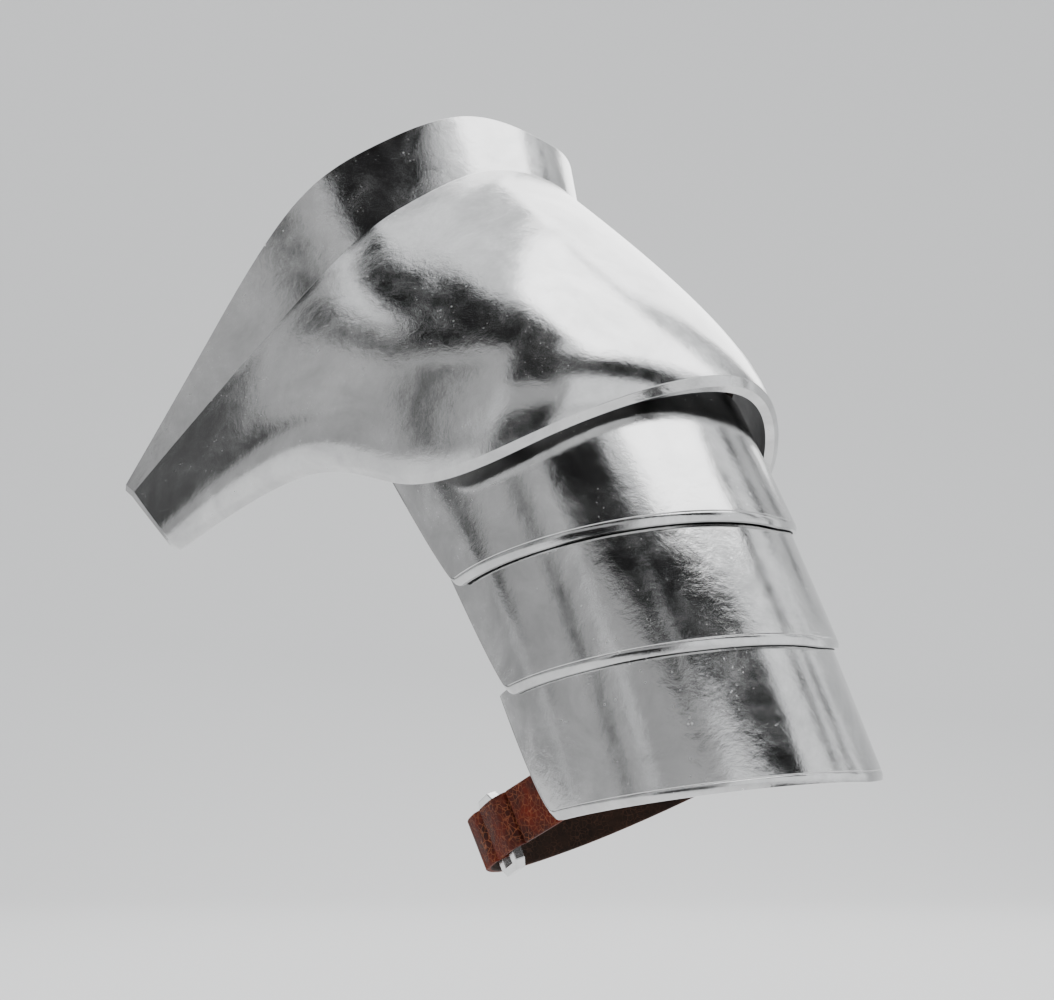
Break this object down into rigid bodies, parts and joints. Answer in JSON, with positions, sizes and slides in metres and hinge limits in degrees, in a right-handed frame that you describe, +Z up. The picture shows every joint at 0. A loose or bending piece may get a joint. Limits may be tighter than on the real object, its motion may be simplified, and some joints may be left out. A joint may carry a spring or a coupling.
{
  "type": "pauldron",
  "caption": "Polished steel left pauldron: domed shoulder plate with neck flange and chest wing, lames below it, and a buckled leather arm strap.",
  "frame": {"origin": "point under the crown of the shoulder plate, where it sits on the shoulder", "axes": "+X outwards from the neck along the arm, -Y to the wearer's front, +Z up; a left pauldron as worn"},
  "size_m": [0.2909, 0.206, 0.314],
  "materials": {
    "plate_steel": "polished, cloudy with handling, fine scratches",
    "buckle_steel": "bright polished",
    "rivet_steel": "dull, as hammered",
    "strap_leather": "aged red-brown, cracked grain",
    "inner_leather": "dark, unpolished"
  },
  "bodies": {
    "root": {"main_plate": "plate_steel", "lame_upper": "plate_steel", "lame_middle": "plate_steel", "lame_lower": "plate_steel", "buckle_frame": "buckle_steel", "buckle_tongue": "buckle_steel", "rivet_strap_front": "rivet_steel", "rivet_strap_back": "rivet_steel", "rivet_front_1": "rivet_steel", "rivet_front_2": "rivet_steel", "rivet_front_3": "rivet_steel", "rivet_front_4": "rivet_steel", "rivet_middle_1": "rivet_steel", "rivet_middle_2": "rivet_steel", "rivet_middle_3": "rivet_steel", "rivet_middle_4": "rivet_steel", "rivet_back_1": "rivet_steel", "rivet_back_2": "rivet_steel", "rivet_back_3": "rivet_steel", "rivet_back_4": "rivet_steel", "strap_front": "strap_leather", "strap_back": "strap_leather", "inner_leather_front": "inner_leather", "inner_leather_middle": "inner_leather", "inner_leather_back": "inner_leather"}
  },
  "joints": []
}
